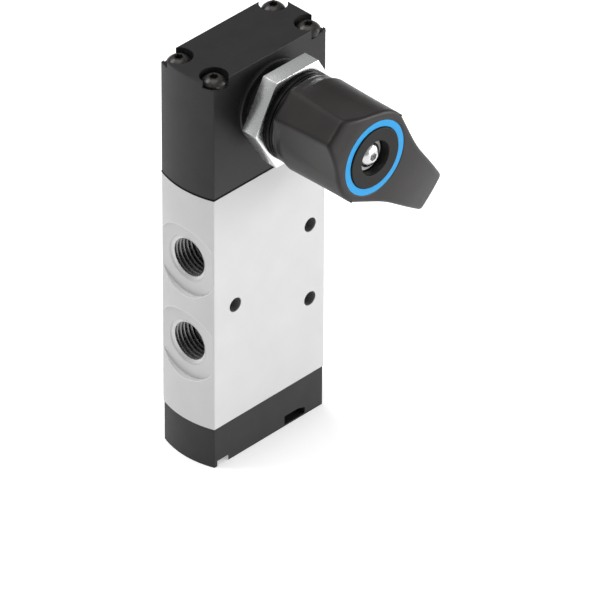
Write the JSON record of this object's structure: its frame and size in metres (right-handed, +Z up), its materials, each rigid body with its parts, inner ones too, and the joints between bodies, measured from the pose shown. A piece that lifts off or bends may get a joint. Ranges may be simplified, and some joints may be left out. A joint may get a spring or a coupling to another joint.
{
  "type": "hand lever air valve",
  "caption": "Rotary hand lever air valve: flat metal body with threaded ports, moulded housing with a threaded panel neck and nut, and a faceted lever knob.",
  "frame": {"origin": "on the spool axis, at the underside of the bottom cap", "axes": "+Z up along the spool, -Y towards the knob, -X towards the two working ports"},
  "size_m": [0.0518, 0.0595, 0.1282],
  "materials": {
    "body_metal": "blasted and anodised",
    "housing_plastic": "moulded, fine grain",
    "ring_plastic": "moulded",
    "knob_plastic": "satin moulded",
    "ring_blue": "satin",
    "black_rubber": "matt",
    "black_steel": "black oxide",
    "nut_steel": "zinc plated",
    "bright_steel": "turned",
    "bush_brass": "turned",
    "spool_metal": "hard anodised",
    "cage_plastic": "moulded"
  },
  "bodies": {
    "valve": {"valve_body": "body_metal", "bottom_cap": "housing_plastic", "cap_gasket": "black_rubber", "housing_gasket": "black_rubber", "actuator_housing": "housing_plastic", "housing_screws": "black_steel", "cap_screws": "black_steel", "panel_seal": "black_rubber", "front_ring": "ring_plastic", "shaft_bush": "bush_brass", "shaft_seal": "black_rubber", "gland_washer": "bright_steel", "spool_seals": "black_rubber", "spacer_cages": "cage_plastic", "lower_guide": "cage_plastic", "upper_guide": "cage_plastic", "detent_spring": "bright_steel"},
    "panel_nut": {"panel_nut": "nut_steel"},
    "selector": {"knob": "knob_plastic", "indicator_ring": "ring_blue", "knob_insert": "knob_plastic", "knob_washer": "bright_steel", "knob_screw": "bright_steel", "selector_shaft": "bright_steel", "crank_disc": "bright_steel", "drive_pin": "bright_steel", "retaining_ring": "bright_steel"},
    "spool": {"spool": "spool_metal", "spool_yoke": "spool_metal"}
  },
  "joints": [
    {"name": "knob_turn", "type": "hinge", "parent": "valve", "child": "selector", "pos_m": [0, -0.0238, 0.1126], "axis": [0, 1, 0], "range_deg": [0, 90], "deforming": ["detent_spring"]},
    {"name": "spool_slide", "type": "slide", "parent": "valve", "child": "spool", "axis": [0, 0, 1], "range_m": [-0.00601, 0]},
    {"name": "nut_slide", "type": "slide", "parent": "valve", "child": "panel_nut", "axis": [0, 1, 0], "range_m": [0, 0.0037]}
  ],
  "couplings": [
    {"joint": "spool_slide", "follows": "knob_turn", "m_per_rad": -0.0038173}
  ]
}
